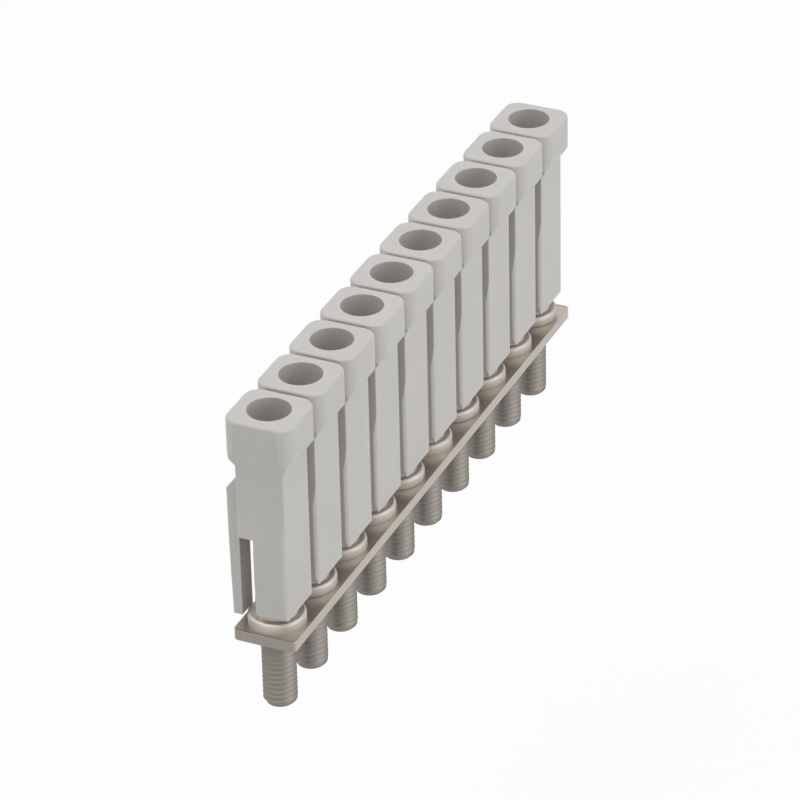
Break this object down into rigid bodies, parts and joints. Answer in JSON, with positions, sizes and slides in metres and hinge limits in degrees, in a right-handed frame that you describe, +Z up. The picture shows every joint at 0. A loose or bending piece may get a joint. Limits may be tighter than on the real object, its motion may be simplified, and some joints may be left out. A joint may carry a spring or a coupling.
{
  "type": "terminal block jumper bar",
  "caption": "Screw-down jumper bar for a row of terminal blocks: flat plated bar, captive slotted screws, and a grey insulating sleeve with a driver bore round each screw head.",
  "frame": {"origin": "middle of the bar's underside, where the bar seats on the terminal blocks", "axes": "+X along the row from the near pole to the far one, +Y across the row, +Z up the screws towards the sleeves' open tops"},
  "size_m": [0.0616, 0.0069, 0.029],
  "materials": {
    "bar_metal": "satin plated copper alloy",
    "screw_steel": "zinc plated",
    "sleeve_plastic": "moulded, fine satin"
  },
  "bodies": {
    "bar_and_sleeves": {"jumper_bar": "bar_metal", "sleeve_01": "sleeve_plastic", "sleeve_02": "sleeve_plastic", "sleeve_03": "sleeve_plastic", "sleeve_04": "sleeve_plastic", "sleeve_05": "sleeve_plastic", "sleeve_06": "sleeve_plastic", "sleeve_07": "sleeve_plastic", "sleeve_08": "sleeve_plastic", "sleeve_09": "sleeve_plastic", "sleeve_10": "sleeve_plastic"},
    "screw_01": {"screw_01": "screw_steel"},
    "screw_02": {"screw_02": "screw_steel"},
    "screw_03": {"screw_03": "screw_steel"},
    "screw_04": {"screw_04": "screw_steel"},
    "screw_05": {"screw_05": "screw_steel"},
    "screw_06": {"screw_06": "screw_steel"},
    "screw_07": {"screw_07": "screw_steel"},
    "screw_08": {"screw_08": "screw_steel"},
    "screw_09": {"screw_09": "screw_steel"},
    "screw_10": {"screw_10": "screw_steel"}
  },
  "joints": [
    {"name": "turn_01", "type": "hinge", "parent": "bar_and_sleeves", "child": "screw_01", "pos_m": [-0.0279, 0, 0], "axis": [0, 0, 1], "continuous": true},
    {"name": "turn_02", "type": "hinge", "parent": "bar_and_sleeves", "child": "screw_02", "pos_m": [-0.0217, 0, 0], "axis": [0, 0, 1], "continuous": true},
    {"name": "turn_03", "type": "hinge", "parent": "bar_and_sleeves", "child": "screw_03", "pos_m": [-0.0155, 0, 0], "axis": [0, 0, 1], "continuous": true},
    {"name": "turn_04", "type": "hinge", "parent": "bar_and_sleeves", "child": "screw_04", "pos_m": [-0.0093, 0, 0], "axis": [0, 0, 1], "continuous": true},
    {"name": "turn_05", "type": "hinge", "parent": "bar_and_sleeves", "child": "screw_05", "pos_m": [-0.0031, 0, 0], "axis": [0, 0, 1], "continuous": true},
    {"name": "turn_06", "type": "hinge", "parent": "bar_and_sleeves", "child": "screw_06", "pos_m": [0.0031, 0, 0], "axis": [0, 0, 1], "continuous": true},
    {"name": "turn_07", "type": "hinge", "parent": "bar_and_sleeves", "child": "screw_07", "pos_m": [0.0093, 0, 0], "axis": [0, 0, 1], "continuous": true},
    {"name": "turn_08", "type": "hinge", "parent": "bar_and_sleeves", "child": "screw_08", "pos_m": [0.0155, 0, 0], "axis": [0, 0, 1], "continuous": true},
    {"name": "turn_09", "type": "hinge", "parent": "bar_and_sleeves", "child": "screw_09", "pos_m": [0.0217, 0, 0], "axis": [0, 0, 1], "continuous": true},
    {"name": "turn_10", "type": "hinge", "parent": "bar_and_sleeves", "child": "screw_10", "pos_m": [0.0279, 0, 0], "axis": [0, 0, 1], "continuous": true}
  ]
}
